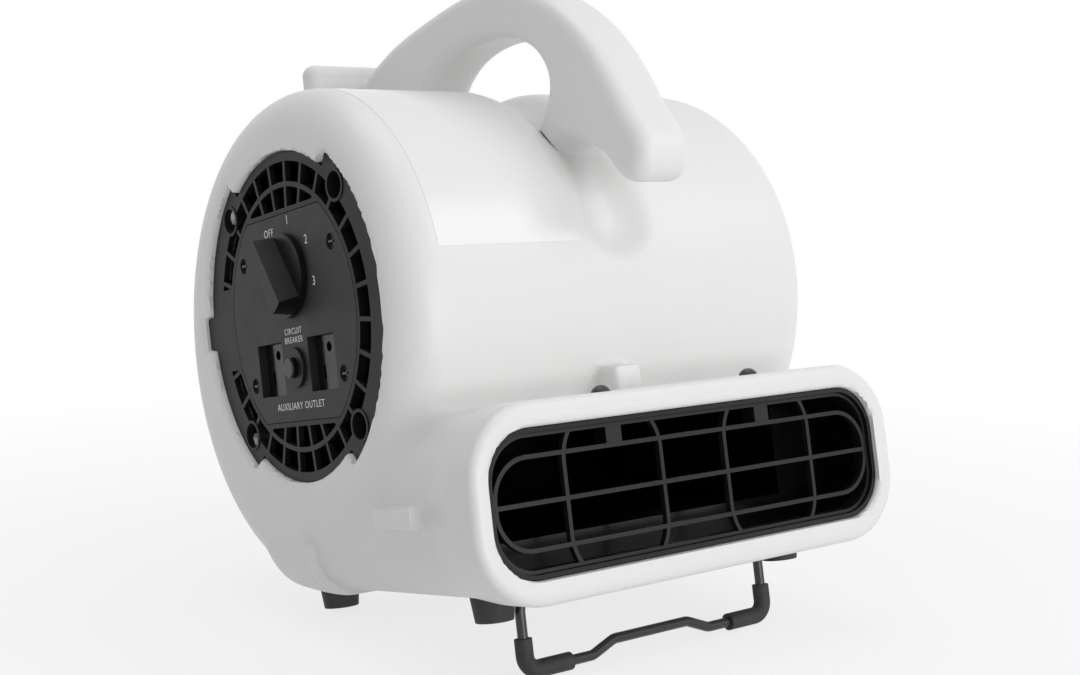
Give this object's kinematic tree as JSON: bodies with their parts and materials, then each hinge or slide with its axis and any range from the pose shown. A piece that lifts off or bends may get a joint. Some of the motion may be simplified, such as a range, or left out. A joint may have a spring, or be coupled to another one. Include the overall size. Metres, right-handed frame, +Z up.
{
  "type": "air mover",
  "caption": "Portable blower with a drum housing, wide low outlet, carrying handle with cord hooks, side control panel with sockets, and a fold-out wire kickstand.",
  "frame": {"origin": "centre of the footprint box, on the floor that the rear feet and the kickstand rest on", "axes": "+Z up, -Y the way the air blows, X along the wheel's axis with the control panel at -X"},
  "size_m": [0.2734, 0.3114, 0.3251],
  "materials": {
    "white_plastic": "satin white moulded polyethylene",
    "black_plastic": "satin black moulded plastic",
    "panel_plastic": "fine textured dark grey plastic",
    "black_gloss": "glossy black plastic",
    "rubber": "black rubber",
    "black_steel": "black coated steel",
    "steel": "zinc plated steel",
    "core_steel": "laminated motor steel",
    "aluminium": "die cast aluminium"
  },
  "bodies": {
    "blower": {"bracket_screws": "steel", "breaker_body": "black_plastic", "clip_screws": "steel", "control_panel": "panel_plastic", "cord_bushing": "rubber", "foot_screws": "steel", "front_left_foot": "rubber", "front_right_foot": "rubber", "front_socket": "black_gloss", "handle": "white_plastic", "handle_screws": "steel", "housing": "white_plastic", "left_grille_screws": "black_steel", "left_inlet_grille": "black_plastic", "left_motor_end": "aluminium", "left_stand_clip": "black_plastic", "motor_bearings": "steel", "motor_bracket": "steel", "motor_can": "steel", "outlet_grille": "black_plastic", "outlet_grille_screws": "black_steel", "panel_screws": "black_steel", "rear_left_foot": "rubber", "rear_right_foot": "rubber", "rear_socket": "black_gloss", "right_grille_screws": "black_steel", "right_inlet_grille": "black_plastic", "right_motor_end": "aluminium", "right_stand_clip": "black_plastic", "rotary_switch": "black_plastic", "scroll_lining": "black_gloss", "stator": "core_steel", "switch_box": "black_plastic"},
    "wheel": {"blower_wheel": "black_gloss", "rotor_core": "core_steel", "motor_shaft": "steel"},
    "knob": {"speed_knob": "black_plastic", "switch_shaft": "steel"},
    "button": {"breaker_button": "black_gloss"},
    "kickstand": {"kickstand_wire": "black_steel", "left_stand_sleeve": "rubber", "right_stand_sleeve": "rubber"}
  },
  "joints": [
    {"name": "wheel_spin", "type": "hinge", "parent": "blower", "child": "wheel", "pos_m": [0.0027, 0.0178, 0.15868], "axis": [1, 0, 0], "continuous": true},
    {"name": "speed_turn", "type": "hinge", "parent": "blower", "child": "knob", "pos_m": [-0.1233, 0.02185, 0.17887], "axis": [1, 0, 0], "range_deg": [0, 135]},
    {"name": "breaker_press", "type": "slide", "parent": "blower", "child": "button", "axis": [1, 0, 0], "range_m": [0, 0.0025], "stiffness_N_per_m": 200},
    {"name": "kickstand_fold", "type": "hinge", "parent": "blower", "child": "kickstand", "pos_m": [0.0027, -0.10547, 0.03758], "axis": [1, 0, 0], "range_deg": [0, 90]}
  ]
}
